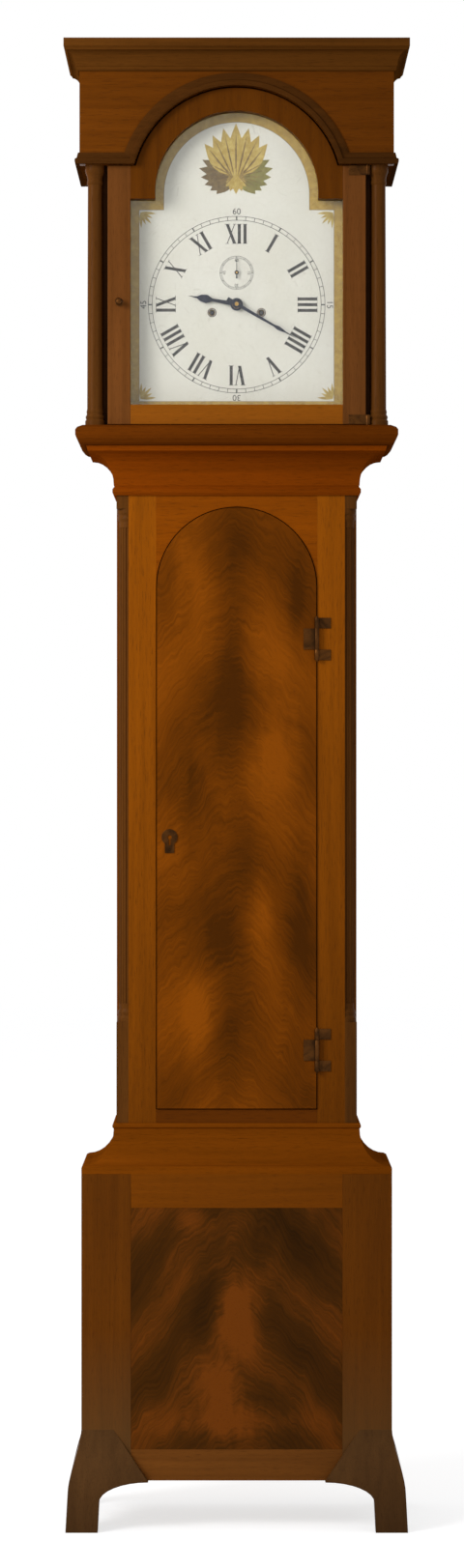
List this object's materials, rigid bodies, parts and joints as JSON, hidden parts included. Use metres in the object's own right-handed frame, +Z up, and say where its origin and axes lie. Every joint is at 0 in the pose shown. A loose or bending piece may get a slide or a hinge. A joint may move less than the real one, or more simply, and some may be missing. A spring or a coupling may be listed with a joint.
{
  "type": "longcase clock",
  "caption": "Tall case clock with splayed bracket feet, arched trunk door, quarter columns, arched glazed hood and painted dial, with its movement, pendulum and weights.",
  "frame": {"origin": "centre of the floor under the clock's bounding box", "axes": "+Z up, the dial faces -Y, +X is the viewer's right"},
  "size_m": [0.516, 0.254, 2.227],
  "materials": {
    "mahogany": "polished mahogany",
    "dark_mahogany": "polished mahogany, darker",
    "flame_veneer": "polished crotch mahogany veneer",
    "pine": "planed, unfinished secondary wood",
    "brass": "lacquered brass",
    "bell_metal": "cast bell metal",
    "steel": "filed steel",
    "blued_steel": "blued steel",
    "lead": "cast lead",
    "gut": "gut line",
    "glass": "old crown glass",
    "dial_paint": "painted iron dial"
  },
  "bodies": {
    "case": {"backboard": "pine", "base_front": "mahogany", "base_panel": "flame_veneer", "base_sides": "mahogany", "bottom_board": "pine", "front_feet": "dark_mahogany", "rear_feet": "dark_mahogany", "waist_moulding": "mahogany", "trunk_sides": "mahogany", "trunk_front_frame": "mahogany", "quarter_columns": "dark_mahogany", "throat_moulding": "mahogany", "trunk_hinge_leaves": "brass", "seatboard": "pine", "dial": "dial_paint", "front_plate": "brass", "back_plate": "brass", "plate_pillars": "brass", "back_cock": "brass", "bell": "bell_metal"},
    "trunk_door": {"trunk_door": "flame_veneer", "trunk_door_hinges": "brass", "trunk_escutcheon": "brass", "trunk_lock": "steel"},
    "lock_bolt": {"lock_bolt": "steel"},
    "hood": {"hood_base": "mahogany", "hood_sides": "mahogany", "hood_columns": "dark_mahogany", "hood_tympanum": "mahogany", "hood_arch_moulding": "dark_mahogany", "hood_cornice": "dark_mahogany", "hood_top_board": "pine", "dial_mask": "dark_mahogany"},
    "hood_door": {"hood_door": "mahogany", "hood_glass": "glass", "hood_door_hinges": "brass", "hood_door_knob": "brass"},
    "escape": {"escape_wheel": "brass", "seconds_hand": "blued_steel"},
    "third": {"third_wheel": "brass"},
    "centre": {"centre_wheel": "brass", "minute_hand": "blued_steel"},
    "minute_work": {"minute_wheel": "brass"},
    "hour": {"hour_wheel": "brass", "hour_hand": "blued_steel"},
    "going_great": {"going_great_wheel": "brass"},
    "going_drum": {"going_barrel": "brass"},
    "going_weight": {"going_weight": "lead", "going_line": "gut"},
    "going_pulley": {"going_pulley": "brass"},
    "strike_drum": {"strike_barrel": "brass"},
    "strike_weight": {"strike_weight": "lead", "strike_line": "gut"},
    "strike_pulley": {"strike_pulley": "brass"},
    "anchor": {"anchor": "steel"},
    "pendulum": {"pendulum_rod": "steel"},
    "bob": {"pendulum_bob": "brass"},
    "nut": {"rating_nut": "brass"},
    "hammer": {"hammer": "steel"}
  },
  "joints": [
    {"name": "hood_slide", "type": "slide", "parent": "case", "child": "hood", "axis": [0, -1, 0], "range_m": [0, 0.3]},
    {"name": "hood_door_hinge", "type": "hinge", "parent": "hood", "child": "hood_door", "pos_m": [0.1955, -0.096, 1.8], "axis": [0, 0, 1], "range_deg": [0, 105]},
    {"name": "trunk_door_hinge", "type": "hinge", "parent": "case", "child": "trunk_door", "pos_m": [0.12075, -0.0596, 1.05], "axis": [0, 0, 1], "range_deg": [0, 110]},
    {"name": "lock_bolt_slide", "type": "slide", "parent": "trunk_door", "child": "lock_bolt", "axis": [-1, 0, 0], "range_m": [0, 0.006]},
    {"name": "escape_turn", "type": "hinge", "parent": "case", "child": "escape", "pos_m": [0, -0.0345, 1.884], "axis": [0, 1, 0], "continuous": true},
    {"name": "third_turn", "type": "hinge", "parent": "case", "child": "third", "pos_m": [-0.00675, -0.0345, 1.86235], "axis": [0, 1, 0], "continuous": true},
    {"name": "centre_turn", "type": "hinge", "parent": "case", "child": "centre", "pos_m": [0, -0.0345, 1.836], "axis": [0, 1, 0], "continuous": true},
    {"name": "minute_work_turn", "type": "hinge", "parent": "case", "child": "minute_work", "pos_m": [0, -0.0345, 1.812], "axis": [0, 1, 0], "continuous": true},
    {"name": "hour_turn", "type": "hinge", "parent": "case", "child": "hour", "pos_m": [0, -0.0345, 1.836], "axis": [0, 1, 0], "continuous": true},
    {"name": "great_wheel_turn", "type": "hinge", "parent": "case", "child": "going_great", "pos_m": [0.037, -0.0345, 1.824], "axis": [0, 1, 0], "continuous": true},
    {"name": "going_weight_drop", "type": "slide", "parent": "case", "child": "going_weight", "axis": [0, 0, -1], "range_m": [0, 1.05], "deforming": ["going_line"]},
    {"name": "going_barrel_turn", "type": "hinge", "parent": "case", "child": "going_drum", "pos_m": [0.037, -0.0345, 1.824], "axis": [0, 1, 0], "range_deg": [0, 4665]},
    {"name": "going_pulley_turn", "type": "hinge", "parent": "going_weight", "child": "going_pulley", "pos_m": [0.045, 0.002, 1.444], "axis": [0, 1, 0], "range_deg": [0, 3381]},
    {"name": "strike_weight_drop", "type": "slide", "parent": "case", "child": "strike_weight", "axis": [0, 0, -1], "range_m": [0, 1.05], "deforming": ["strike_line"]},
    {"name": "strike_barrel_turn", "type": "hinge", "parent": "case", "child": "strike_drum", "pos_m": [-0.037, -0.0345, 1.824], "axis": [0, -1, 0], "range_deg": [0, 4665]},
    {"name": "strike_pulley_turn", "type": "hinge", "parent": "strike_weight", "child": "strike_pulley", "pos_m": [-0.045, 0.002, 1.444], "axis": [0, -1, 0], "range_deg": [0, 3381]},
    {"name": "pendulum_swing", "type": "hinge", "parent": "case", "child": "pendulum", "pos_m": [0, 0.0665, 1.913], "axis": [0, 1, 0], "range_deg": [-3, 3]},
    {"name": "anchor_rock", "type": "hinge", "parent": "case", "child": "anchor", "pos_m": [0, -0.0345, 1.913], "axis": [0, 1, 0], "range_deg": [-3, 3]},
    {"name": "bob_height", "type": "slide", "parent": "pendulum", "child": "bob", "axis": [0, 0, 1], "range_m": [-0.0015, 0.0015]},
    {"name": "rating_nut_turn", "type": "hinge", "parent": "bob", "child": "nut", "pos_m": [0, 0.0665, 0.919], "axis": [0, 0, 1], "range_deg": [-1083, 1083]},
    {"name": "hammer_lift", "type": "hinge", "parent": "case", "child": "hammer", "pos_m": [-0.03, -0.0345, 1.916], "axis": [0, -1, 0], "range_deg": [0, 12], "stiffness_Nm_per_rad": 0.4, "springref_deg": -2.86}
  ],
  "couplings": [
    {"joint": "third_turn", "follows": "escape_turn", "ratio": -0.125},
    {"joint": "centre_turn", "follows": "escape_turn", "ratio": 0.016667},
    {"joint": "minute_work_turn", "follows": "escape_turn", "ratio": -0.016667},
    {"joint": "hour_turn", "follows": "escape_turn", "ratio": 0.0013889},
    {"joint": "great_wheel_turn", "follows": "escape_turn", "ratio": -0.0013889},
    {"joint": "going_barrel_turn", "follows": "going_weight_drop", "rad_per_m": 77.519},
    {"joint": "going_pulley_turn", "follows": "going_weight_drop", "rad_per_m": 56.18},
    {"joint": "strike_barrel_turn", "follows": "strike_weight_drop", "rad_per_m": 77.519},
    {"joint": "strike_pulley_turn", "follows": "strike_weight_drop", "rad_per_m": 56.18},
    {"joint": "anchor_rock", "follows": "pendulum_swing", "ratio": 1},
    {"joint": "rating_nut_turn", "follows": "bob_height", "rad_per_m": 12566}
  ]
}
